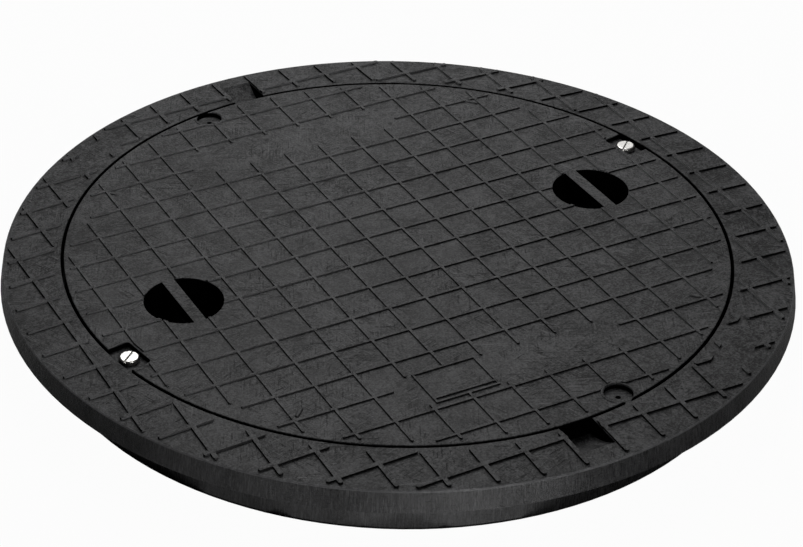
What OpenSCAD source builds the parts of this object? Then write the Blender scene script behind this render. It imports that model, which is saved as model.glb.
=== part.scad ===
/* [Frame] */
// Outer diameter of the frame at its top edge
frame_d = 780; // [770:1:800]
// Height of the frame at its outer top edge
frame_h = 70; // [66:1:85]
// Rise of the frame's top from its outer edge to the recess
land_rise = 2.8; // [0:0.2:4]
// Height of the flange's side
flange_h = 21; // [18:1:26]
// Growth in radius from the flange's top edge to its lower edge
flange_draft = 3.5; // [0:0.5:6]
// Distance from the frame's top edge in to the collar that goes down into the shaft
collar_inset = 34; // [28:1:38]
// Width of the frame's top between its outer edge and the recess for the lid
land_w = 58; // [54:0.5:60]
// Width of the seat inside the recess
seat_w = 32; // [31:0.5:36]
// Thickness of the frame's walls, seat and top skin
frame_wall = 7; // [5.5:0.5:8]
// Number of webs round the underside of the frame
frame_webs = 32; // [24:4:40]
// Thickness of each web
web_t = 4; // [3:0.5:6]
// Chamfer along the frame's top edges
edge_chamfer = 1; // [0.5:0.1:2]

/* [Lifting notches] */
// Width of each notch beside the lid
notch_w = 35; // [30:1:35]
// Depth of the notch at the lid's edge
notch_depth = 17; // [10:1:18]
// Length of the flat floor before the ramp
notch_floor = 4; // [3:1:10]
// Length of the ramp that runs out on the frame's top
notch_ramp = 36; // [28:1:38]

/* [Lid] */
// Open gap between the lid and the frame
rim_gap = 2.2; // [2:0.1:4]
// Height of the lid's top above the frame's top beside it
lid_proud = 0; // [0:0.5:2]
// Depth from the lid's top to the foot of its skirt
lid_depth = 30; // [28:1:32]
// Thickness of the lid's plate
lid_plate = 10; // [8:0.5:12]
// Thickness of the lid's skirt and of the ring that lands on the seal
lid_wall = 7; // [5:0.5:8]
// Number of radial ribs under the lid
lid_spokes = 16; // [8:8:24]
// Radii of the ring ribs under the lid, as shares of the lid's radius
lid_ring_share = [0.18, 0.43, 0.87];
// Depth of the ribs under the lid
under_rib_h = 12; // [8:1:14]

/* [Tread grid] */
// Spacing of the raised anti-slip ribs on the lid
grid_pitch = 40; // [36:1:44]
// Spacing of the ribs on the frame
frame_pitch = 40.7; // [38:0.1:44]
// Width of a rib on the lid
lid_rib_w = 3; // [2:0.5:4]
// Height of a rib on the lid
lid_rib_h = 1.5; // [1:0.5:2.5]
// Width of a rib on the frame
frame_rib_w = 4.5; // [3:0.5:5]
// Height of a rib on the frame
frame_rib_h = 2; // [1:0.5:3]
// Bare margin between the lid's edge and the end of a rib
lid_margin = 6; // [3:0.5:8]
// Bare margins between the frame's inner and outer edges and the end of a rib
frame_margin = [6, 4];
// Length and width of the bare panels on the lid
panel_size = [240, 46];
// Distance of the panels' middle in from the lid's edge
panel_inset = 101; // [92:0.5:108]
// Length and width of the raised border on the lower panel
border_size = [66, 48];
// Distance of the border's middle from the panel's middle, along the panel
border_shift = -61; // [-70:1:-50]
// Width of the border's line
border_w = 2; // [1.5:0.5:3]

/* [Grip cups] */
// Distance of each grip cup's middle in from the lid's edge
cup_inset = 100; // [92:0.5:106]
// Bore of a grip cup
cup_d = 78; // [70:1:84]
// Depth of a grip cup
cup_depth = 34; // [28:1:36]
// Wall thickness of a grip cup
cup_wall = 4; // [3:0.5:5]
// Width of the bar across a grip cup
bar_w = 12.5; // [10:0.5:16]
// Height of the bar
bar_h = 12; // [10:1:14]

/* [Lock screws] */
// Direction of the first lock screw from the row of grip cups
lock_angle = 11; // [10:0.5:13]
// Distance of the lock screws in from the lid's edge
lock_inset = 11; // [10.5:0.5:12]
// Thread diameter
screw_d = 10; // [8:1:10]
// Length of the screw under its head
screw_l = 40; // [34:1:42]
// Head diameter
head_d = 20; // [18:0.5:21]
// Head height
head_h = 4; // [3.5:0.5:4.5]
// Width and depth of the driver slot
slot_size = [2, 1.8];
// Washer diameter
lock_washer_d = 18; // [17:0.5:20]
// Washer thickness
lock_washer_t = 1; // [0.8:0.1:1.2]
// Width of the bay in the lid's edge
bay_w = 40; // [34:1:44]
// Depth of the bay
bay_depth = 5.5; // [5:0.5:7]
// Diameter of the threaded insert
insert_d = 14; // [13:0.5:15]
// Length of the threaded insert
insert_l = 18; // [14:1:22]
// Diameter of the round pockets in the lid's edge
pocket_d = 27; // [24:1:30]
// Depth of the round pockets
pocket_depth = 5; // [3:0.5:7]
// Pilot hole in a round pocket
pilot_d = 5; // [4:0.5:6]

/* [Seal] */
// Width of the sealing ring
seal_w = 7; // [5:0.5:7]
// Depth of the groove that holds it
seal_groove = 3.5; // [2:0.5:4]
// Height of the ring above the seat
seal_stand = 2; // [1.5:0.5:3]

/* [Insulation] */
// Gap round the insulating disc in the throat
foam_gap = 10; // [8:0.5:14]
// Thickness of the insulating disc
foam_t = 36; // [32:1:36]
// Distance of its screws in from its edge
foam_screw_inset = 90; // [80:1:100]
// Diameter of a foam screw
foam_screw_d = 6; // [5:0.5:7]
// Diameter of the large washers under the disc
foam_washer_d = 40; // [32:1:46]
// Thickness of the large washers
foam_washer_t = 2; // [1.5:0.5:3]
// Height of a foam screw's head
foam_head_h = 3; // [2:0.5:4]

/* [Hidden] */
$fn = 96;
eps = 0.5;
clearance = 0.2;
frame_r = frame_d / 2;
collar_r = frame_r - collar_inset;
recess_r = frame_r - land_w;
throat_r = recess_r - seat_w;
lid_r = recess_r - rim_gap;
lock_r = lid_r - lock_inset;
cup_r = lid_r - cup_inset;
panel_y = lid_r - panel_inset;
border_pos = [border_shift, -panel_y];
lid_ring_r = [for (share = lid_ring_share) share * lid_r];
foam_r = throat_r - foam_gap;
foam_screw_r = foam_r - foam_screw_inset;
collar_root = 4;
land_z = frame_h + land_rise;
lid_top = land_z + lid_proud;
lid_foot = lid_top - lid_depth;
plate_z = lid_top - lid_plate;
rib_foot = plate_z - under_rib_h;
seat_z = lid_foot - seal_stand;
flange_z = frame_h - flange_h;
skin_z = frame_h - frame_wall;
rib_slope = land_rise / land_w;
seal_r = throat_r + seal_w;
foam_foot = rib_foot - foam_t;
bay_floor = lid_top - bay_depth;
bay_inner = lock_r - head_d / 2 - 2;
bay_corner = 4;
screw_hole_d = screw_d + 1;
insert_boss_d = insert_d + 10;
pilot_depth = 9;
foam_boss_d = foam_screw_d + 10;
foam_pilot_depth = lid_plate - 2;
notch_end = recess_r + notch_floor + notch_ramp;
ramp_steps = 12;
frame_turn = 0.3;
tag_size = [84, 28];
tag_angle = 124.5;
tag_r = (recess_r + frame_r) / 2 - 2;
short_row = [4.5, 6.35];
short_column = [6.5, 4.28];
lid_lines = [for (i = [-floor(lid_r / grid_pitch + 0.5) : floor(lid_r / grid_pitch - 0.5)]) (i + 0.5) * grid_pitch];
frame_lines = [for (i = [-floor(frame_r / frame_pitch + 0.5) : floor(frame_r / frame_pitch - 0.5)])
    (i + 0.5) * frame_pitch];

// Half length of a chord at distance d from the centre of a circle of radius r
function half_chord(r, d) = abs(d) < r ? sqrt(r * r - d * d) : 0;

// Half length of a lid rib at distance d; the pair at short[0] stops early, at short[1], both in pitches
function lid_reach(d, short) =
    min(half_chord(lid_r - lid_margin, d), abs(abs(d) - short[0] * grid_pitch) < 1 ? short[1] * grid_pitch : lid_r);

// Stretches of a lid rib that runs along X at height d: a row crosses the bare panels' height or runs whole
function row_parts(d, reach) =
    abs(abs(d) - panel_y) < panel_size[1] / 2
        ? [[-reach, -panel_size[0] / 2], [panel_size[0] / 2, reach]]
        : [[-reach, reach]];

// Stretches of a lid rib that runs along Y at distance d
function column_parts(d, reach) =
    abs(d) < panel_size[0] / 2
        ? [[-reach, -panel_y - panel_size[1] / 2],
           [-panel_y + panel_size[1] / 2, panel_y - panel_size[1] / 2],
           [panel_y + panel_size[1] / 2, reach]]
        : [[-reach, reach]];

// Flat bar with round ends from a to b along X
module round_bar(a, b, width) {
    if (b - a > 2 * width) {
        translate([a + width / 2, -width / 2]) square([b - a - width, width]);
        translate([a + width / 2, 0]) circle(d = width, $fn = 24);
        translate([b - width / 2, 0]) circle(d = width, $fn = 24);
    }
}

// Outline of the tread ribs on the lid
module lid_grid() {
    difference() {
        union() {
            for (d = lid_lines) {
                for (part = row_parts(d, lid_reach(d, short_row)))
                    translate([0, d]) round_bar(part[0], part[1], lid_rib_w);
                for (part = column_parts(d, lid_reach(d, short_column)))
                    translate([d, 0]) rotate(90) round_bar(part[0], part[1], lid_rib_w);
            }
        }
        for (side = [0, 180]) rotate(side) {
            translate([cup_r, 0]) circle(d = cup_d);
            rotate(lock_angle) translate([bay_inner - 2, -bay_w / 2 - 2]) square([lid_r, bay_w + 4]);
            rotate(lock_angle - 90) translate([lock_r - 2, 0]) circle(d = pocket_d + 5);
        }
    }
}

// Outline of the tread ribs on the frame, cut off at its inner and outer margins
module frame_grid() {
    inner = recess_r + frame_margin[0];
    outer = frame_r - frame_margin[1] - edge_chamfer;
    difference() {
        union() {
            for (d = frame_lines) {
                far = half_chord(outer, d);
                near = half_chord(inner, d);
                for (turn = [0, 90, 180, 270]) {
                    if (near > 0) rotate(turn) translate([0, d]) round_bar(near, far, frame_rib_w);
                }
                for (turn = [0, 90]) {
                    if (near == 0) rotate(turn) translate([0, d]) round_bar(-far, far, frame_rib_w);
                }
            }
        }
        for (side = [0, 180]) rotate(side) {
            translate([-notch_w / 2, recess_r]) square([notch_w, notch_end - recess_r + 4]);
            rotate(tag_angle) translate([tag_r, 0]) square([tag_size[1], tag_size[0]], center = true);
        }
    }
}

// Half section of the frame from throat to flange
module frame_profile() {
    polygon([
        [throat_r, 0],
        [throat_r + frame_wall, 0],
        [throat_r + frame_wall, seat_z - frame_wall],
        [recess_r + frame_wall, seat_z - frame_wall],
        [recess_r + frame_wall, skin_z],
        [collar_r - frame_wall, skin_z],
        [collar_r - frame_wall, 0],
        [collar_r, 0],
        [collar_r, flange_z],
        [collar_r + collar_root, flange_z],
        [collar_r + collar_root, skin_z],
        [frame_r - frame_wall, skin_z],
        [frame_r + flange_draft - frame_wall, flange_z],
        [frame_r + flange_draft, flange_z],
        [frame_r, frame_h - edge_chamfer],
        [frame_r - edge_chamfer, frame_h + rib_slope * edge_chamfer],
        [recess_r + edge_chamfer, land_z - rib_slope * edge_chamfer],
        [recess_r, land_z - edge_chamfer],
        [recess_r, seat_z],
        [seal_r + seal_w / 2, seat_z],
        [seal_r + seal_w / 2, seat_z - seal_groove],
        [seal_r - seal_w / 2, seat_z - seal_groove],
        [seal_r - seal_w / 2, seat_z],
        [throat_r, seat_z]
    ]);
}

// Webs between the throat and the collar, and between the collar and the flange
module frame_web() {
    translate([throat_r + 2, -web_t / 2, 0]) cube([collar_r - throat_r - 4, web_t, seat_z - frame_wall + 1]);
    translate([collar_r + collar_root - 2, -web_t / 2, flange_z + 3])
        cube([collar_inset - collar_root, web_t, skin_z + 2 - flange_z - 3]);
}

// Tread ribs of the frame, as high over its sloping top near the lid as at its outer edge
module frame_tread() {
    sunk = frame_h - eps;
    intersection() {
        translate([0, 0, sunk]) linear_extrude(land_rise + frame_rib_h + 2 * eps) rotate(frame_turn) frame_grid();
        rotate_extrude($fn = 180) polygon([
            [recess_r + 2, frame_h - 2 * eps],
            [frame_r - 2, frame_h - 2 * eps],
            [frame_r - 2, frame_h + frame_rib_h + 2 * rib_slope],
            [recess_r + 2, land_z + frame_rib_h - 2 * rib_slope]
        ]);
    }
}

// Block that backs a notch from below
module notch_block() {
    translate([-notch_w / 2 - frame_wall, recess_r + 2, flange_z + 1])
        cube([notch_w + 2 * frame_wall, notch_end - recess_r, flange_h - 3]);
}

// Space of a notch: flat floor, then a ramp that curves up to the frame's top
module notch_cut() {
    floor_z = land_z - notch_depth;
    ramp = [for (i = [0 : ramp_steps])
        [recess_r + notch_floor + notch_ramp * i / ramp_steps, floor_z + notch_depth * pow(i / ramp_steps, 1.6)]];
    above = land_z + frame_rib_h + eps;
    translate([notch_w / 2, 0, 0]) rotate([90, 0, -90]) mirror([1, 0, 0])
        linear_extrude(notch_w)
            polygon(concat([[recess_r - 2 * edge_chamfer, above], [recess_r - 2 * edge_chamfer, floor_z]], ramp,
                           [[notch_end, above]]));
}

module frame() {
    color([0.16, 0.16, 0.17])
    difference() {
        union() {
            rotate_extrude($fn = 180) frame_profile();
            for (i = [0 : frame_webs - 1]) rotate(i * 360 / frame_webs) frame_web();
            for (side = [0, 180]) {
                rotate(side + frame_turn) notch_block();
                rotate(side + lock_angle) translate([lock_r, 0, seat_z - insert_l - 4])
                    cylinder(d = insert_boss_d, h = insert_l + 5 - frame_wall);
            }
            frame_tread();
        }
        for (side = [0, 180]) {
            rotate(side + frame_turn) notch_cut();
            rotate(side + lock_angle) translate([lock_r, 0, seat_z - insert_l])
                cylinder(d = insert_d, h = insert_l + eps);
            rotate(side + lock_angle) translate([lock_r, 0, -eps])
                cylinder(d = screw_d + 2 * clearance, h = seat_z);
        }
    }
}

// Half section of the lid: plate, skirt and the ring that lands on the seal
module lid_profile() {
    polygon([
        [0, plate_z],
        [seal_r - lid_wall / 2, plate_z],
        [seal_r - lid_wall / 2, lid_foot],
        [seal_r + lid_wall / 2, lid_foot],
        [seal_r + lid_wall / 2, plate_z],
        [lid_r - lid_wall, plate_z],
        [lid_r - lid_wall, lid_foot],
        [lid_r, lid_foot],
        [lid_r, lid_top - edge_chamfer],
        [lid_r - edge_chamfer, lid_top],
        [0, lid_top]
    ]);
}

// Ring rib under the plate, centred on radius r
module lid_ring(r) {
    rotate_extrude($fn = 120) translate([r - web_t / 2, rib_foot]) square([web_t, under_rib_h + 1]);
}

// Solid pad under a lock bay, from the plate down to the seal
module bay_pad() {
    intersection() {
        translate([seal_r - lid_wall / 2, -bay_w / 2 - lid_wall, lid_foot])
            cube([lid_r, bay_w + 2 * lid_wall, plate_z - lid_foot + 1]);
        translate([0, 0, lid_foot]) cylinder(r = lid_r - 1, h = lid_depth - 2, $fn = 180);
    }
}

// Space of a lock bay, open to the rim gap, with rounded inner corners
module bay_cut() {
    translate([0, 0, bay_floor]) linear_extrude(bay_depth + lid_rib_h + eps) {
        translate([bay_inner + bay_corner, -bay_w / 2]) square([lid_r, bay_w]);
        translate([bay_inner, -bay_w / 2 + bay_corner]) square([2 * bay_corner, bay_w - 2 * bay_corner]);
        for (y = [-1, 1]) translate([bay_inner + bay_corner, y * (bay_w / 2 - bay_corner)]) circle(bay_corner, $fn = 32);
    }
}

// Raised rectangular border on the lower panel with a doubled lower line
module panel_border() {
    translate(border_pos) {
        difference() {
            square(border_size, center = true);
            translate([-border_size[0] / 2 + border_w, -border_size[1] / 2 + border_w])
                square([border_size[0] - 2 * border_w, 2 * border_w]);
            translate([-border_size[0] / 2 + border_w, -border_size[1] / 2 + 4 * border_w])
                square([border_size[0] - 2 * border_w, border_size[1] - 5 * border_w]);
        }
    }
}

module lid() {
    color([0.17, 0.17, 0.18])
    union() {
        difference() {
            union() {
                rotate_extrude($fn = 180) lid_profile();
                for (r = lid_ring_r) lid_ring(r);
                for (i = [0 : lid_spokes - 1]) rotate(i * 360 / lid_spokes)
                    translate([lid_ring_r[0], -web_t / 2, rib_foot]) cube([seal_r - lid_ring_r[0], web_t, under_rib_h + 1]);
                for (side = [0, 180]) rotate(side) {
                    translate([cup_r, 0, lid_top - cup_depth - cup_wall])
                        cylinder(d = cup_d + 2 * cup_wall, h = cup_depth + cup_wall - 1);
                    rotate(lock_angle) bay_pad();
                }
                for (i = [0 : 3]) rotate(45 + 90 * i) translate([foam_screw_r, 0, rib_foot])
                    cylinder(d = foam_boss_d, h = under_rib_h + 1);
                translate([0, 0, lid_top - eps]) linear_extrude(lid_rib_h + eps) {
                    lid_grid();
                    panel_border();
                }
            }
            for (side = [0, 180]) rotate(side) {
                translate([cup_r, 0, lid_top - cup_depth]) cylinder(d = cup_d, h = cup_depth + lid_rib_h + eps);
                rotate(lock_angle) bay_cut();
                rotate(lock_angle) translate([lock_r, 0, lid_foot - eps])
                    cylinder(d = screw_hole_d, h = lid_depth);
                rotate(lock_angle - 90) translate([lock_r - 2, 0, lid_top - pocket_depth])
                    cylinder(d = pocket_d, h = pocket_depth + lid_rib_h + eps);
                rotate(lock_angle - 90) translate([lock_r - 2, 0, lid_top - pilot_depth])
                    cylinder(d = pilot_d, h = pilot_depth);
            }
            for (i = [0 : 3]) rotate(45 + 90 * i) translate([foam_screw_r, 0, rib_foot - eps])
                cylinder(d = foam_screw_d - 0.5, h = under_rib_h + foam_pilot_depth + eps);
        }
        for (side = [0, 180]) rotate(side) {
            intersection() {
                translate([cup_r - bar_w / 2, -cup_d / 2 - 1, lid_top - bar_h]) cube([bar_w, cup_d + 2, bar_h]);
                translate([cup_r, 0, lid_top - bar_h]) cylinder(d = cup_d + 1, h = bar_h);
            }
        }
    }
}

module seal_ring() {
    color([0.05, 0.05, 0.05])
    rotate_extrude($fn = 180)
        translate([seal_r - seal_w / 2 + clearance, seat_z - seal_groove])
            square([seal_w - 2 * clearance, seal_groove + seal_stand]);
}

module insulation_disc() {
    cup_foot = lid_top - cup_depth - cup_wall;
    color([0.9, 0.9, 0.86])
    difference() {
        translate([0, 0, foam_foot]) cylinder(r = foam_r, h = foam_t, $fn = 180);
        for (side = [0, 180]) rotate(side) translate([cup_r, 0, cup_foot - clearance])
            cylinder(d = cup_d + 2 * cup_wall + 2, h = foam_t);
        for (i = [0 : 3]) rotate(45 + 90 * i) translate([foam_screw_r, 0, foam_foot - eps])
            cylinder(d = foam_screw_d + 2 * clearance, h = foam_t + 2 * eps);
    }
}

// Slotted pan head with a rounded top edge over a plain shank
module lock_screw(side) {
    head_z = bay_floor + lock_washer_t;
    round_r = 0.6 * head_h;
    color([0.78, 0.78, 0.76])
    rotate(side + lock_angle) translate([lock_r, 0, head_z]) rotate(30)
        difference() {
            union() {
                cylinder(d = head_d, h = head_h - round_r);
                rotate_extrude() {
                    translate([0, head_h - round_r]) square([head_d / 2 - round_r, round_r]);
                    translate([head_d / 2 - round_r, head_h - round_r]) intersection() {
                        circle(round_r);
                        square(round_r);
                    }
                }
                translate([0, 0, -screw_l]) cylinder(d = screw_d, h = screw_l);
            }
            translate([-head_d, -slot_size[0] / 2, head_h - slot_size[1]]) cube([2 * head_d, slot_size[0], slot_size[1] + eps]);
        }
}

module lock_washer(side) {
    color([0.7, 0.7, 0.68])
    rotate(side + lock_angle) translate([lock_r, 0, bay_floor])
        difference() {
            cylinder(d = lock_washer_d, h = lock_washer_t);
            translate([0, 0, -eps]) cylinder(d = screw_d + 2 * clearance, h = lock_washer_t + 2 * eps);
        }
}

module lock_insert(side) {
    color([0.75, 0.6, 0.3])
    rotate(side + lock_angle) translate([lock_r, 0, seat_z - insert_l])
        difference() {
            cylinder(d = insert_d, h = insert_l);
            translate([0, 0, -eps]) cylinder(d = screw_d + 2 * clearance, h = insert_l + 2 * eps);
        }
}

// Screw i of the insulating disc, head down
module foam_screw(i) {
    tip_z = rib_foot + under_rib_h + foam_pilot_depth - 1;
    color([0.78, 0.78, 0.76])
    rotate(45 + 90 * i) translate([foam_screw_r, 0, 0]) {
        translate([0, 0, foam_foot - foam_washer_t - foam_head_h]) cylinder(d = foam_screw_d * 2, h = foam_head_h);
        translate([0, 0, foam_foot - foam_washer_t]) cylinder(d = foam_screw_d - 0.5, h = tip_z - foam_foot + foam_washer_t);
    }
}

module foam_washer(i) {
    color([0.7, 0.7, 0.68])
    rotate(45 + 90 * i) translate([foam_screw_r, 0, foam_foot - foam_washer_t])
        difference() {
            cylinder(d = foam_washer_d, h = foam_washer_t);
            translate([0, 0, -eps]) cylinder(d = foam_screw_d + 2 * clearance, h = foam_washer_t + 2 * eps);
        }
}

frame();
lid();
seal_ring();
insulation_disc();
lock_screw(0);  // lock_screw_right
lock_screw(180);  // lock_screw_left
lock_washer(0);  // lock_washer_right
lock_washer(180);  // lock_washer_left
lock_insert(0);  // lock_insert_right
lock_insert(180);  // lock_insert_left
foam_screw(0);  // foam_screw_1
foam_screw(1);  // foam_screw_2
foam_screw(2);  // foam_screw_3
foam_screw(3);  // foam_screw_4
foam_washer(0);  // foam_washer_1
foam_washer(1);  // foam_washer_2
foam_washer(2);  // foam_washer_3
foam_washer(3);  // foam_washer_4
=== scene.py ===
import math
import bpy
import numpy as np
from mathutils import Matrix, Vector


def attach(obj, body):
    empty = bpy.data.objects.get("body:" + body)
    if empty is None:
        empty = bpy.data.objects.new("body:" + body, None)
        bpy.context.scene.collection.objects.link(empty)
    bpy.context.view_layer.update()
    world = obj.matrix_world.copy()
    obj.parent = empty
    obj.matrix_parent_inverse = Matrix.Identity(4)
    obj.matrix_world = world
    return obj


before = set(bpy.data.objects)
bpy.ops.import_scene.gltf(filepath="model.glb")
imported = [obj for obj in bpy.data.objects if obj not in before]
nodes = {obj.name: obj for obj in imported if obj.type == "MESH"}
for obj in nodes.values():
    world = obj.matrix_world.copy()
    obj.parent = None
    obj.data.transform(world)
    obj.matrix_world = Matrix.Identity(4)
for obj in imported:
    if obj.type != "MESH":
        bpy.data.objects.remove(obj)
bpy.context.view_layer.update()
print("frame loaded:", len(nodes), "nodes")

# The sizes below repeat those of the solids, in metres.
cover = {
    "edgeZ": 0.070,  # top of the frame at its outer edge
    "lidZ": 0.0728,  # top of the lid, and of the frame beside it
    "lidRadius": 0.3298,
    "recessRadius": 0.332,
    "frameRadius": 0.390,
    "cupAt": 0.2298,
    "cupRadius": 0.039,
}

camera = {
    "pixels": (803, 547),
    "focal": 2260.664,  # in pixels of that frame
    "centre": (219.076, 273.5),  # where the view axis meets the picture
    "elevation": 33.386,
    "around": -24.102,
    "roll": -1.3406,
    "distance": 2.21895,
    "aim": (-0.17529, -0.04402),  # aimed-at point on the top plane, before the turn around the cover
    "sensor": 36.0,
    "clip": (0.05, 100.0),
}


def makeCamera(look):
    # right, up and forward axes from the elevation, then rolled, then turned about Z
    tilt = math.radians(look["elevation"])
    roll = math.radians(look["roll"])
    forward = Vector((0, math.cos(tilt), -math.sin(tilt)))
    right = Vector((1, 0, 0))
    up = right.cross(forward)
    rolledRight = right * math.cos(roll) + up * math.sin(roll)
    rolledUp = up * math.cos(roll) - right * math.sin(roll)
    place = Vector((*look["aim"], 0)) - forward * look["distance"]
    turn = Matrix.Rotation(math.radians(look["around"]), 4, "Z")
    axes = Matrix((rolledRight, rolledUp, -forward)).transposed().to_4x4()
    data = bpy.data.cameras.new("view")
    data.sensor_fit = "HORIZONTAL"
    data.sensor_width = look["sensor"]
    width, height = look["pixels"]
    data.lens = look["focal"] / width * look["sensor"]
    data.shift_x = (width / 2 - look["centre"][0]) / width
    data.shift_y = (look["centre"][1] - height / 2) / width
    data.clip_start, data.clip_end = look["clip"]
    made = bpy.data.objects.new("view", data)
    made.matrix_world = Matrix.Translation((0, 0, cover["edgeZ"])) @ turn @ Matrix.Translation(place) @ axes
    bpy.context.scene.collection.objects.link(made)
    bpy.context.scene.camera = made


makeCamera(camera)
print("camera set")

noiseMiddle = 0.5  # a noise swings about this value
black = (0.0, 0.0, 0.0)


class Wire:  # one socket of a tree; arithmetic on it adds Math nodes
    def __init__(self, tree, socket):
        self.tree = tree
        self.socket = socket

    def out(self, name):
        return Wire(self.tree, self.socket.node.outputs[name])

    def math(self, operation, *values):
        return self.tree.node("ShaderNodeMath", {"operation": operation}, dict(enumerate((self, *values))))

    def __add__(self, other):
        return self.math("ADD", other)

    def __mul__(self, other):
        return self.math("MULTIPLY", other)

    def __sub__(self, other):
        return self.math("SUBTRACT", other)

    def __rsub__(self, other):
        return self.tree.node("ShaderNodeMath", {"operation": "SUBTRACT"}, {0: other, 1: self})

    __radd__ = __add__
    __rmul__ = __mul__


class Tree:  # the nodes of a material or of the world, and short ways to add to them
    def __init__(self, owner):
        owner.use_nodes = True
        self.nodes = owner.node_tree.nodes
        self.links = owner.node_tree.links

    def feed(self, socket, value):
        if isinstance(value, Wire):
            self.links.new(value.socket, socket)
        else:
            socket.default_value = value

    def node(self, kind, settings=None, inputs=None, output=0):
        # adds any node; an output node has no socket to give back
        made = self.nodes.new(kind)
        for name, value in (settings or {}).items():
            setattr(made, name, value)
        for name, value in (inputs or {}).items():
            self.feed(made.inputs[name], value)
        return Wire(self, made.outputs[output]) if len(made.outputs) else None

    def split(self, vector):
        x = self.node("ShaderNodeSeparateXYZ", {}, {0: vector})
        return x, x.out("Y"), x.out("Z")

    def span(self, x, y):
        return (x * x + y * y).math("SQRT")

    def step(self, value, low, high, least=0.0, most=1.0):
        # least where the value is low, most where it is high; low may be the larger number
        settings = {"interpolation_type": "SMOOTHSTEP"}
        values = {"Value": value, "From Min": low, "From Max": high, "To Min": least, "To Max": most}
        return self.node("ShaderNodeMapRange", settings, values)


class Shade(Tree):  # a material with its Principled shader
    def __init__(self, name):
        self.material = bpy.data.materials.new(name)
        super().__init__(self.material)
        self.shader = self.nodes["Principled BSDF"]
        self.place = self.node("ShaderNodeTexCoord", output="Object")

    def finish(self, **sockets):
        for name, value in sockets.items():
            self.feed(self.shader.inputs[name.replace("_", " ")], value)
        return self.material

    def darken(self, factor):
        # mixes a black that mirrors nothing over the shader: painted shade for hollows and rib walls that
        # little light reaches
        dark = self.node("ShaderNodeBsdfDiffuse", {}, {"Color": (*black, 1.0)})
        lit = Wire(self, self.shader.outputs[0])
        mixed = self.node("ShaderNodeMixShader", {}, {0: factor, 1: lit, 2: dark})
        self.feed(self.nodes["Material Output"].inputs["Surface"], mixed)

    def noise(self, place, size, detail=2.0, roughness=0.5, distortion=0.0):
        values = {"Vector": place, "Scale": 1.0 / size, "Detail": detail, "Roughness": roughness,
                  "Distortion": distortion}
        return self.node("ShaderNodeTexNoise", {}, values)

    def stretched(self, angle, length, width):
        # the place turned by an angle about Z and measured in lengths and widths of a mark
        settings = {"vector_type": "TEXTURE"}
        values = {"Vector": self.place, "Rotation": (0, 0, math.radians(angle)),
                  "Scale": (length, width, width)}
        return self.node("ShaderNodeMapping", settings, values)

    def blend(self, factor, first, second):
        first = (*first, 1.0) if isinstance(first, tuple) else first
        second = (*second, 1.0) if isinstance(second, tuple) else second
        settings = {"data_type": "RGBA", "clamp_factor": True}
        return self.node("ShaderNodeMix", settings, {0: factor, 6: first, 7: second}, output=2)

    def roundEdge(self, radius):
        return self.node("ShaderNodeBevel", {"samples": 4}, {"Radius": radius})

    def bump(self, height, strength, distance, normal=None):
        values = {"Height": height, "Strength": strength, "Distance": distance}
        if normal is not None:
            values["Normal"] = normal
        return self.node("ShaderNodeBump", {}, values)


def weighed(marks, weights, base=0.0):
    # the base with every mark added that has a weight
    for name, weight in weights.items():
        base = marks[name] * weight + base
    return base


plastic = {
    "darkTone": (0.004, 0.004, 0.0043),
    "lightTone": (0.080, 0.080, 0.082),
    "level": 0.40,  # of the plain plastic, between the dark and the light tone
    "sideLevel": -0.06,  # added to it on the sides
    "sideSlope": (0.75, 0.35),  # how far a normal points up, on a top and on a side
    "specular": 0.22,
    "roughness": 0.58,
    "sideRoughness": 0.31,
    "roundEdge": 0.0006,
    "bumpStrength": 0.6,
    "bumpHeight": 0.0006,
    # Each noise has its size, detail, roughness and distortion.
    "clouds": (0.060, 3.0, 0.55, 0.6),
    "smears": (0.014, 5.0, 0.62, 1.4),
    "crackle": (0.011, 6.0, 0.72, 2.2),
    "crackleEdge": (0.36, 0.64),
    "grain": (0.0022, 3.0, 0.7),
    "streaks": (0.0014, 4.0, 0.7),
    "streakSqueeze": 0.12,  # of their height, which makes them long and upright
    "blotches": (0.03, 3.0, 0.6),
    "glintEdge": (0.52, 0.64),  # where a streak becomes a glint
    "leastRadius": 0.01,
    # How much each mark adds to the tone, the roughness and the relief.
    "topWeights": {"clouds": 1.10, "smears": 1.80, "crackle": 0.34, "grain": 2.60, "scratches": 0.50},
    "sideWeights": {"streaks": 1.0, "glints": 0.22, "blotches": 0.6, "grain": 0.8},
    "roughWeights": {"smears": 0.25, "rim": -0.3, "scratches": -0.06, "cups": 0.4, "notches": 0.3,
                     "streaks": 0.8, "glints": -0.09},
    "bumpWeights": {"smears": 0.6, "grain": 0.7, "scratches": 0.5, "streaks": 1.6},
}

scratch = {
    "angles": (17.0, 64.0, 112.0, 156.0),
    "length": 0.022,
    "width": 0.0012,
    "widen": 0.35,  # each further direction is wider by this share
    "marks": (1.0, 2.0, 0.6, 0.4),
    "lightEdge": (0.58, 0.72),
    "darkEdge": (0.42, 0.28),
    "patchSize": 0.045,
    "patchGrowth": 0.012,
    "patchEdge": (0.44, 0.60),
}

# Painted light and shade on the plastic: shade on rib walls, in corners, cups, notches, the gap and small
# pits; highlights on rib tops, some rib walls and the frame's rim.
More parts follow.
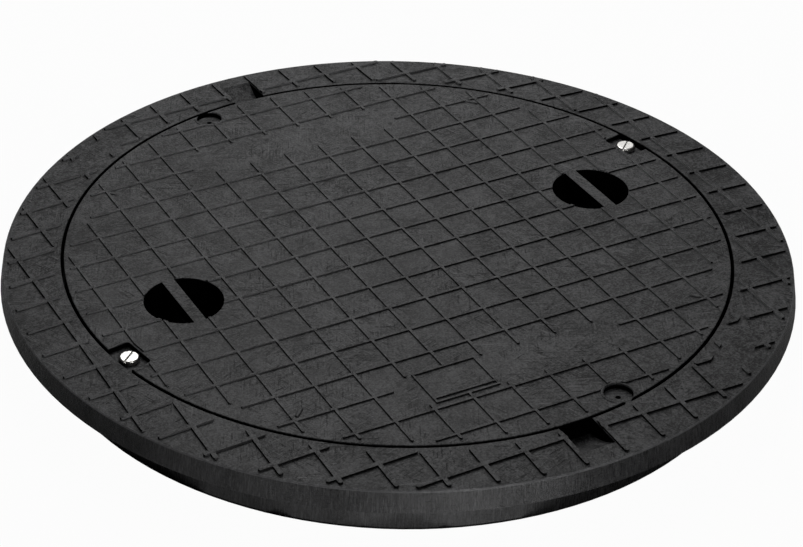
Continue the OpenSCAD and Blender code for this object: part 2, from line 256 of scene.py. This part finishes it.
paintedLight = {
    "wallTone": 0.25,  # what is left of the light on the walls of the ribs
    "hollowTone": 0.05,  # what is left of it in cups, notches and the gap round the lid
    "cornerShadeTone": 0.60,  # what is left of the colour in a corner, under painted shade
    "cornerShadeReach": 0.004,  # how far the painted shade reaches from a corner
    "cornerShadeEdge": (0.97, 0.72),
    "ribTopHighlightTone": 0.10,  # painted highlight added on the tops of the ribs
    "ribTopHeight": (0.0010, 0.0014),
    "wallFoot": (-0.0001, 0.0003),
    # the colour of painted highlights on rib walls and on the rim
    "highlightTone": (0.42, 0.42, 0.43),
    "litRows": (0.10, -0.25),  # x minus y, from painted-shade to painted-highlight walls of the rows
    "litColumns": (0.10, 0.28),  # x, from painted-shade to painted-highlight walls of the columns
    "facing": (-0.5, -0.9),  # how far a wall with a painted highlight looks against its axis
    "rubbedRadius": (0.3886, 0.3890),  # the frame's outer top edge: rubbed smooth, and lighter as a painted highlight
    "rubbedDepth": (0.0018, 0.0010),
    "rimHighlightShare": 0.25,
    "dimples": ((0.111, 0.213), (0.111, 0.246)),  # dark spots painted as the shade of small pits, the same in all four quarters
    "dimpleEdge": (0.0032, 0.00192),
    "dimpleWobble": 0.002,
    "dimpleShare": 0.8,
    "cupEdge": (0.002, 0.001),  # beyond the cup's radius
    "cupDepth": (-0.0002, -0.0010),
    "notchEdge": (0.374, 0.373),  # radius where the ramps of the lifting notches end
    "notchFloor": (0.0525, 0.0535),
    "notchSlope": (-0.3, -0.1),  # faces that look down are left out
    "notchWall": (-0.0005, -0.0015),
    "notchDepth": (-0.012, -0.020),
    "gapEdge": (0.0019, 0.0015),  # half the width of the dark line round the lid
    "gapTop": (0.0009, 0.0002),
    "gapFloor": (0.040, 0.045),
}


def plasticSpot(shade, look):
    # where a point lies on the cover, and which way it faces
    x, y, z = shade.split(shade.place)
    normalX, normalY, normalZ = shade.split(shade.node("ShaderNodeNewGeometry", output="Normal"))
    radius = shade.span(x, y)
    fall = (cover["lidZ"] - cover["edgeZ"]) / (cover["frameRadius"] - cover["recessRadius"])
    land = cover["lidZ"] - fall * (radius - cover["recessRadius"]).math("MAXIMUM", 0.0)
    return {
        "x": x,
        "y": y,
        "z": z,
        "radius": radius,
        "above": z - land,  # height over the face that the ribs stand on
        "normalX": normalX,
        "normalY": normalY,
        "normalZ": normalZ,
        "side": shade.step(normalZ.math("ABSOLUTE"), *look["sideSlope"]),
    }


def scratchMarks(shade, look):
    # light and dark scratches in a few directions, each direction in patches of its own
    total = 0.0
    for index, angle in enumerate(look["angles"]):
        width = look["width"] * (1.0 + look["widen"] * index)
        marks = shade.noise(shade.stretched(angle, look["length"], width), *look["marks"])
        patches = shade.noise(shade.place, look["patchSize"] + look["patchGrowth"] * index, 1.0)
        lines = shade.step(marks, *look["lightEdge"]) - shade.step(marks, *look["darkEdge"])
        total = lines * shade.step(patches, *look["patchEdge"]) + total
    return total


def plasticMarks(shade, look, spot):
    # the marks of the moulded plastic; noises swing about zero, scratches and glints start there
    scale = cover["frameRadius"] * spot["radius"].math("MAXIMUM", look["leastRadius"]).math("POWER", -1.0)
    wound = shade.node("ShaderNodeCombineXYZ", {}, {
        0: spot["x"] * scale,
        1: spot["y"] * scale,
        2: spot["z"] * look["streakSqueeze"],
    })
    marks = {}
    for name in ("clouds", "smears", "grain"):
        marks[name] = shade.noise(shade.place, *look[name]) - noiseMiddle
    crackle = shade.noise(shade.place, *look["crackle"])
    marks["crackle"] = shade.step(crackle, *look["crackleEdge"]) - noiseMiddle
    marks["scratches"] = scratchMarks(shade, scratch)
    streaks = shade.noise(wound, *look["streaks"])
    marks["streaks"] = streaks - noiseMiddle
    marks["glints"] = shade.step(streaks, *look["glintEdge"])
    marks["blotches"] = shade.noise(wound, *look["blotches"]) - noiseMiddle
    return marks


def litRibWalls(shade, look, spot):
    # 1 where a rib's wall gets a painted highlight instead of painted shade, on the rows at the upper left
    # and the columns at the right
    rows = shade.step(spot["normalY"], *look["facing"])
    columns = shade.step(spot["normalX"], *look["facing"])
    rowPlace = shade.step(spot["x"] - spot["y"], *look["litRows"])
    columnPlace = shade.step(spot["x"], *look["litColumns"])
    return rows * rowPlace + columns * columnPlace


def rubbedRimAndHighlight(shade, look, spot):
    # the frame's outer top edge: smoother in roughness, lighter as a painted highlight in the colour
    rim = shade.step(spot["radius"], *look["rubbedRadius"])
    high, low = look["rubbedDepth"]
    return rim * shade.step(spot["z"], cover["edgeZ"] - high, cover["edgeZ"] - low)


def cupHollows(shade, look, spot):
    cup = shade.span(spot["x"].math("ABSOLUTE") - cover["cupAt"], spot["y"])
    outer, inner = look["cupEdge"]
    over = shade.step(cup, cover["cupRadius"] + outer, cover["cupRadius"] + inner)
    return shade.step(spot["above"], *look["cupDepth"]) * over


def notchHollows(shade, look, spot):
    inside = shade.step(spot["radius"], *look["notchEdge"])
    inside = inside * shade.step(spot["normalZ"], *look["notchSlope"])
    inside = inside * shade.step(spot["z"], *look["notchFloor"])
    walls = shade.step(spot["above"], *look["notchWall"]) * spot["side"]
    return inside * walls.math("MAXIMUM", shade.step(spot["above"], *look["notchDepth"]))


def lidGap(shade, look, spot):
    middle = 0.5 * (cover["lidRadius"] + cover["recessRadius"])
    gap = shade.step((spot["radius"] - middle).math("ABSOLUTE"), *look["gapEdge"])
    return gap * shade.step(spot["above"], *look["gapTop"]) * shade.step(spot["z"], *look["gapFloor"])


# painted shade: black spots where small pits would be
def dimpled(shade, look, spot, smears, colour):
    for across, along in look["dimples"]:
        fromX = spot["x"].math("ABSOLUTE") - across
        fromY = spot["y"].math("ABSOLUTE") - along
        near = shade.span(fromX, fromY) + smears * look["dimpleWobble"]
        dimple = shade.step(near, *look["dimpleEdge"])
        colour = shade.blend(dimple * look["dimpleShare"], colour, black)
    return colour


def recycledPlastic(name, look, paintedLightLook):
    # clouds, smears and scratches on the tops, upright streaks on the sides; painted shade in corners,
    # hollows and on rib walls, painted highlights on rib tops, some rib walls and the rim
    shade = Shade(name)
    spot = plasticSpot(shade, look)
    side = spot["side"]
    marks = plasticMarks(shade, look, spot)
    wall = shade.step(spot["above"], *paintedLightLook["wallFoot"]) * side
    litWall = litRibWalls(shade, paintedLightLook, spot)
    rim = rubbedRimAndHighlight(shade, paintedLightLook, spot)
    cups = cupHollows(shade, paintedLightLook, spot)
    notches = notchHollows(shade, paintedLightLook, spot)
    gap = lidGap(shade, paintedLightLook, spot)

    top = weighed(marks, look["topWeights"])
    # painted highlight: the tops of the ribs made lighter
    wearAndHighlight = shade.step(spot["above"], *paintedLightLook["ribTopHeight"]) * paintedLightLook["ribTopHighlightTone"]
    flank = weighed(marks, look["sideWeights"], look["sideLevel"])
    value = look["level"] + (top + wearAndHighlight) * (1.0 - side) + flank * side
    colour = shade.blend(value, look["darkTone"], look["lightTone"])
    # painted highlight on the frame's outer top edge
    colour = shade.blend(rim * paintedLightLook["rimHighlightShare"], colour, paintedLightLook["highlightTone"])
    # painted shade: corners darkened from ambient occlusion
    corner = shade.node("ShaderNodeAmbientOcclusion", {"samples": 4, "only_local": True},
                        {"Distance": paintedLightLook["cornerShadeReach"]}, output="AO")
    cornerShade = shade.step(corner, *paintedLightLook["cornerShadeEdge"]) * (1.0 - paintedLightLook["cornerShadeTone"])
    colour = shade.blend(cornerShade, colour, black)
    # painted highlight on some rib walls
    colour = shade.blend(wall * litWall, colour, paintedLightLook["highlightTone"])
    colour = dimpled(shade, paintedLightLook, spot, marks["smears"], colour)

    # painted shade: black in the cups, the notches, the gap round the lid and on rib walls
    hollow = cups.math("MAXIMUM", notches).math("MAXIMUM", gap) * (1.0 - paintedLightLook["hollowTone"])
    shade.darken(hollow.math("MAXIMUM", wall * (1.0 - paintedLightLook["wallTone"]) * (1.0 - litWall)))

    streaks = marks["streaks"] * side
    roughParts = {**marks, "streaks": streaks, "glints": marks["glints"] * side, "rim": rim,
                  "cups": cups, "notches": notches}
    evenRough = look["roughness"] + (look["sideRoughness"] - look["roughness"]) * side
    rough = weighed(roughParts, look["roughWeights"], evenRough)
    relief = weighed({**marks, "streaks": streaks + noiseMiddle * side}, look["bumpWeights"])
    bumped = shade.bump(relief, look["bumpStrength"], look["bumpHeight"], shade.roundEdge(look["roundEdge"]))
    return shade.finish(Base_Color=colour, Roughness=rough, Normal=bumped,
                        Specular_IOR_Level=look["specular"])


metal = {
    "markAngle": 25.0,
    "markLength": 0.004,
    "markWidth": 0.0003,
    "marks": (1.0, 3.0, 0.6),
    "dull": (0.003, 4.0, 0.65),
    "dullEdge": (0.3, 0.7),
    "specks": (0.0012, 2.0),
    "speckEdge": (0.66, 0.76),
    "speckTone": (0.02, 0.018, 0.016),
    "roughWeights": {"marks": 0.15, "dull": 0.25, "specks": 0.3},
    "bumpWeights": {"marks": 1.0, "dull": 0.5},
    "bumpStrength": 0.25,
    "bumpHeight": 0.0001,
}
stainlessSteel = {**metal, "tone": (0.66, 0.65, 0.63), "darkTone": (0.45, 0.44, 0.42), "roughness": 0.20,
                  "speckShare": 0.5, "roundEdge": 0.0004}
zincSteel = {**metal, "tone": (0.58, 0.59, 0.60), "darkTone": (0.36, 0.37, 0.39), "roughness": 0.34,
             "speckShare": 0.3, "roundEdge": 0.0005}
insertBrass = {**metal, "tone": (0.62, 0.46, 0.20), "darkTone": (0.40, 0.27, 0.10), "roughness": 0.30,
               "speckShare": 0.4, "roundEdge": 0.0003}


def plainMetal(name, look):
    # turned or rolled metal: fine marks one way, dull clouds and a few darker specks
    shade = Shade(name)
    stretched = shade.stretched(look["markAngle"], look["markLength"], look["markWidth"])
    dull = shade.noise(shade.place, *look["dull"])
    marks = {
        "marks": shade.noise(stretched, *look["marks"]),
        "dull": dull - noiseMiddle,
        "specks": shade.step(shade.noise(shade.place, *look["specks"]), *look["speckEdge"]),
    }
    colour = shade.blend(shade.step(dull, *look["dullEdge"]), look["darkTone"], look["tone"])
    colour = shade.blend(marks["specks"] * look["speckShare"], colour, look["speckTone"])
    rough = weighed(marks, look["roughWeights"], look["roughness"])
    relief = weighed(marks, look["bumpWeights"])
    bumped = shade.bump(relief, look["bumpStrength"], look["bumpHeight"], shade.roundEdge(look["roundEdge"]))
    return shade.finish(Base_Color=colour, Metallic=1.0, Roughness=rough, Normal=bumped)


rubber = {
    "tone": (0.012, 0.012, 0.013),
    "bloomTone": (0.045, 0.045, 0.048),
    "roughness": 0.62,
    "specular": 0.35,
    "lines": (0.0006, 2.0, 0.6),
    "bloom": (0.02, 4.0, 0.65),
    "bloomEdge": (0.45, 0.75),
    "bloomShare": 0.6,
    "grit": (0.0010, 2.0, 0.6),
    "roughWeights": {"grit": 0.3, "bloom": -0.1},
    "bumpWeights": {"lines": 1.0, "grit": 0.5},
    "bumpStrength": 0.4,
    "bumpHeight": 0.0002,
}


def sealRubber(name, look):
    # black rubber with a grey bloom and the fine lines that a die leaves along the ring
    shade = Shade(name)
    x, y, z = shade.split(shade.place)
    section = shade.node("ShaderNodeCombineXYZ", {}, {0: shade.span(x, y), 1: z})
    marks = {
        "lines": shade.noise(section, *look["lines"]),
        "bloom": shade.step(shade.noise(shade.place, *look["bloom"]), *look["bloomEdge"]),
        "grit": shade.noise(shade.place, *look["grit"]) - noiseMiddle,
    }
    colour = shade.blend(marks["bloom"] * look["bloomShare"], look["tone"], look["bloomTone"])
    rough = weighed(marks, look["roughWeights"], look["roughness"])
    bumped = shade.bump(weighed(marks, look["bumpWeights"]), look["bumpStrength"], look["bumpHeight"])
    return shade.finish(Base_Color=colour, Roughness=rough, Normal=bumped,
                        Specular_IOR_Level=look["specular"])


foam = {
    "tone": (0.62, 0.62, 0.60),
    "seamTone": (0.36, 0.36, 0.35),
    "roughness": 0.85,
    "specular": 0.3,
    "bead": 0.0042,
    "beadSpread": 0.9,
    "beadEdge": (0.0, 0.16),
    "wear": (0.05, 4.0, 0.6),
    "wearEdge": (0.5, 0.75),
    "wearShare": 0.35,
    "toneWeights": {"bead": 0.8, "tint": 0.2},
    "tintRoughness": 0.15,
    "bumpWeights": {"bead": 1.0, "wear": 0.2},
    "bumpStrength": 0.5,
    "bumpHeight": 0.0006,
}


def beadedFoam(name, look):
    # pressed beads with darker seams between them, each bead a little lighter or darker
    shade = Shade(name)
    values = {"Vector": shade.place, "Scale": 1.0 / look["bead"], "Randomness": look["beadSpread"]}
    seam = shade.node("ShaderNodeTexVoronoi", {"feature": "DISTANCE_TO_EDGE"}, values)
    cell = shade.node("ShaderNodeTexVoronoi", {"feature": "F1"}, values, output="Color")
    wear = shade.noise(shade.place, *look["wear"])
    marks = {"bead": shade.step(seam, *look["beadEdge"]), "tint": shade.split(cell)[0], "wear": wear}
    colour = shade.blend(weighed(marks, look["toneWeights"]), look["seamTone"], look["tone"])
    wearAndHighlight = shade.step(wear, *look["wearEdge"]) * look["wearShare"]
    colour = shade.blend(wearAndHighlight, colour, look["seamTone"])
    rough = look["roughness"] + (marks["tint"] - noiseMiddle) * look["tintRoughness"]
    bumped = shade.bump(weighed(marks, look["bumpWeights"]), look["bumpStrength"], look["bumpHeight"])
    return shade.finish(Base_Color=colour, Roughness=rough, Normal=bumped,
                        Specular_IOR_Level=look["specular"])


framePlastic = recycledPlastic("framePlastic", plastic, paintedLight)
lidPlastic = recycledPlastic("lidPlastic", plastic, {**paintedLight, "wallTone": 0.55, "cornerShadeTone": 0.90})
zinc = plainMetal("zincSteel", zincSteel)
stainless = plainMetal("stainlessSteel", stainlessSteel)
dressed = {
    "frame": framePlastic,
    "lid": lidPlastic,
    "seal_ring": sealRubber("sealRubber", rubber),
    "insulation_disc": beadedFoam("beadedFoam", foam),
    "lock_screw": stainless,
    "lock_washer": stainless,
    "lock_insert": plainMetal("insertBrass", insertBrass),
    "foam_screw": zinc,
    "foam_washer": zinc,
}
for nodeName, node in nodes.items():
    for start, material in dressed.items():
        if nodeName.startswith(start):
            node.data.materials.clear()
            node.data.materials.append(material)
print("nodes dressed")


def surfaceMesh(name, grid, material):
    # a grid of points, rows by columns, as one smooth surface; rows run along the piece
    rows, columns = grid.shape[:2]
    first = np.arange(rows - 1)[:, None] * columns + np.arange(columns - 1)[None, :]
    faces = np.stack([first, first + 1, first + columns + 1, first + columns], -1).reshape(-1, 4)
    mesh = bpy.data.meshes.new(name)
    mesh.from_pydata(grid.reshape(-1, 3).tolist(), [], faces.tolist())
    mesh.polygons.foreach_set("use_smooth", np.ones(len(faces), bool))
    mesh.materials.append(material)
    piece = bpy.data.objects.new(name, mesh)
    bpy.context.scene.collection.objects.link(piece)
    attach(piece, "root")
    return piece


tick = {
    "length": 0.0145,
    "width": 0.0044,
    "height": 0.0014,
    "sink": 0.0003,  # how deep its foot goes into the lid
    "stretch": 4.0,  # how soon its round ends go over into straight sides
    "dome": 4,  # the higher, the flatter its top
    "turnSteps": 49,
    "rings": 9,
    "places": (  # x, y and the way it points
        (0.2119, -0.2122, -45.0),
        (0.2130, 0.2140, -45.0),
        (-0.2110, -0.2100, 45.0),
        (-0.2160, 0.2130, -45.0),
    ),
}


def tickBar(name, look, x, y, angle):
    # a rounded bar: rings from its outline in to its middle line, rising as a flat dome
    turns = np.linspace(0, 2 * np.pi, look["turnSteps"])
    inward = np.linspace(0, 1, look["rings"])[:, None]
    half = look["width"] / 2
    middle = np.clip(np.cos(turns) * look["stretch"], -1, 1) * (look["length"] / 2 - half)
    along = middle + np.cos(turns) * half * (1 - inward)
    across = np.sin(turns) * half * (1 - inward)
    rise = (look["height"] + look["sink"]) * np.sqrt(1 - (1 - inward) ** look["dome"]) - look["sink"]
    a = math.radians(angle)
    grid = np.stack([
        x + along * math.cos(a) - across * math.sin(a),
        y + along * math.sin(a) + across * math.cos(a),
        cover["lidZ"] + rise + 0 * along,
    ], -1)
    return surfaceMesh(name, grid, lidPlastic)


for index, place in enumerate(tick["places"]):
    tickBar("tick" + str(index + 1), tick, *place)

lip = {
    "centre": 0.3168,  # distance of a pocket from the middle of the lid
    "turns": (-79.0, 101.0),
    "radius": 0.0150,
    "width": 0.0028,
    "height": 0.0008,
    "sink": 0.0002,
    "open": 46.0,  # half the angle left out towards the gap
    "fade": 0.25,  # the angle in radians over which an end rises
    "turnSteps": 73,
    "profileSteps": 9,
}


def pocketLip(name, look, turn):
    # a low rounded rim round a pocket, fading out where it meets the lid's edge
    path = np.radians(np.linspace(look["open"], 360 - look["open"], look["turnSteps"]))[:, None]
    ends = np.clip(np.minimum(path - path[0], path[-1] - path) / look["fade"], 0, 1)
    profile = np.linspace(0, np.pi, look["profileSteps"])
    reach = look["radius"] + np.cos(profile) * look["width"] / 2
    rise = np.sin(profile) * (look["height"] * np.sqrt(ends) + look["sink"]) - look["sink"]
    a = math.radians(turn)
    grid = np.stack([
        look["centre"] * math.cos(a) + reach * np.cos(path + a),
        look["centre"] * math.sin(a) + reach * np.sin(path + a),
        cover["lidZ"] + rise + 0 * reach,
    ], -1)
    return surfaceMesh(name, grid, lidPlastic)


for index, turn in enumerate(lip["turns"]):
    pocketLip("pocketLip" + str(index + 1), lip, turn)
print("small pieces made")


studio = {
    "lamps": (  # name, around, elevation, distance, size, power
        ("high", 162.0, 60.0, 1.8, 1.2, 18.0),
        ("low", 150.0, 32.0, 2.0, 1.3, 6.0),
        ("edge", -4.0, 42.0, 1.8, 0.4, 4.0),
    ),
    "cardSize": 0.22,
    "cardLift": 0.002,
    "cards": (  # around, distance from the centre, power; they lie on the floor in front
        (-11.0, 0.62, 0.56),
        (-22.0, 0.62, 0.16),
        (-30.0, 0.62, 0.11),
        (-45.0, 0.62, 0.10),
        (-65.0, 0.62, 0.08),
        (-15.0, 0.46, 0.11),
        (-27.0, 0.46, 0.06),
        (-38.0, 0.46, 0.07),
        (-52.0, 0.46, 0.04),
    ),
    "zenith": 0.05,
    "horizon": 0.03,
    "domeTop": 0.9,  # height on the unit dome from which the light is that of the zenith
    "floorRadius": 30.0,
    "floorSides": 64,
    "floorTone": 0.35,
    "floorWhite": 0.97,  # share of white that the camera sees
}


def aimed(around, elevation, distance):
    a = math.radians(around)
    e = math.radians(elevation)
    return Vector((math.sin(a) * math.cos(e), -math.cos(a) * math.cos(e), math.sin(e))) * distance


def lampAt(name, place, facing, size, power):
    data = bpy.data.lights.new(name, "AREA")
    data.shape = "DISK"
    data.size = size
    data.energy = power
    lamp = bpy.data.objects.new(name, data)
    lamp.matrix_world = Matrix.Translation(place) @ facing.to_track_quat("Z", "Y").to_matrix().to_4x4()
    lamp.visible_camera = False
    bpy.context.scene.collection.objects.link(lamp)


def makeLamps(look):
    for name, around, elevation, distance, size, power in look["lamps"]:
        place = aimed(around, elevation, distance)
        lampAt(name + "Lamp", place, place, size, power)
    for around, reach, power in look["cards"]:  # light from the floor, which the side mirrors
        place = aimed(around, 0.0, reach) + Vector((0, 0, look["cardLift"]))
        lampAt("card", place, Vector((0, 0, -1)), look["cardSize"], power)


def makeWorld(look):
    # a dim dome for the object, white behind everything that the camera sees
    world = bpy.data.worlds.new("studio")
    bpy.context.scene.world = world
    sky = Tree(world)
    sky.nodes.clear()
    path = sky.node("ShaderNodeLightPath", output="Is Camera Ray")
    seen = path.math("MAXIMUM", path.out("Is Transmission Ray"))
    height = sky.split(sky.node("ShaderNodeTexCoord", output="Generated"))[2]
    dome = sky.step(height, 0.0, look["domeTop"], look["horizon"], look["zenith"])
    strength = sky.node("ShaderNodeMix", {}, {0: seen, 2: dome, 3: 1.0})
    back = sky.node("ShaderNodeBackground", {}, {"Strength": strength})
    sky.node("ShaderNodeOutputWorld", {}, {"Surface": back})


def floorPaper(look):
    # white to the camera, a grey card to the light, and clear from below
    material = bpy.data.materials.new("floorPaper")
    paper = Tree(material)
    paper.nodes.clear()
    tone = look["floorTone"]
    card = paper.node("ShaderNodeBsdfDiffuse", {}, {"Color": (tone, tone, tone, 1.0)})
    white = paper.node("ShaderNodeEmission")
    clear = paper.node("ShaderNodeBsdfTransparent")
    share = paper.node("ShaderNodeLightPath", output="Is Camera Ray") * look["floorWhite"]
    front = paper.node("ShaderNodeMixShader", {}, {0: share, 1: card, 2: white})
    below = paper.node("ShaderNodeNewGeometry", output="Backfacing")
    both = paper.node("ShaderNodeMixShader", {}, {0: below, 1: front, 2: clear})
    paper.node("ShaderNodeOutputMaterial", {}, {"Surface": both})
    return material


def makeFloor(look):
    sides = look["floorSides"]
    turns = np.linspace(0, 2 * np.pi, sides + 1)[:-1]
    ring = np.stack([np.cos(turns), np.sin(turns), np.zeros(sides)], 1) * look["floorRadius"]
    mesh = bpy.data.meshes.new("floor")
    mesh.from_pydata(ring.tolist(), [], [list(range(sides))])
    mesh.materials.append(floorPaper(look))
    floor = bpy.data.objects.new("floor", mesh)
    bpy.context.scene.collection.objects.link(floor)


makeLamps(studio)
makeWorld(studio)
makeFloor(studio)
bpy.context.scene.view_settings.view_transform = "Standard"
print("studio set")
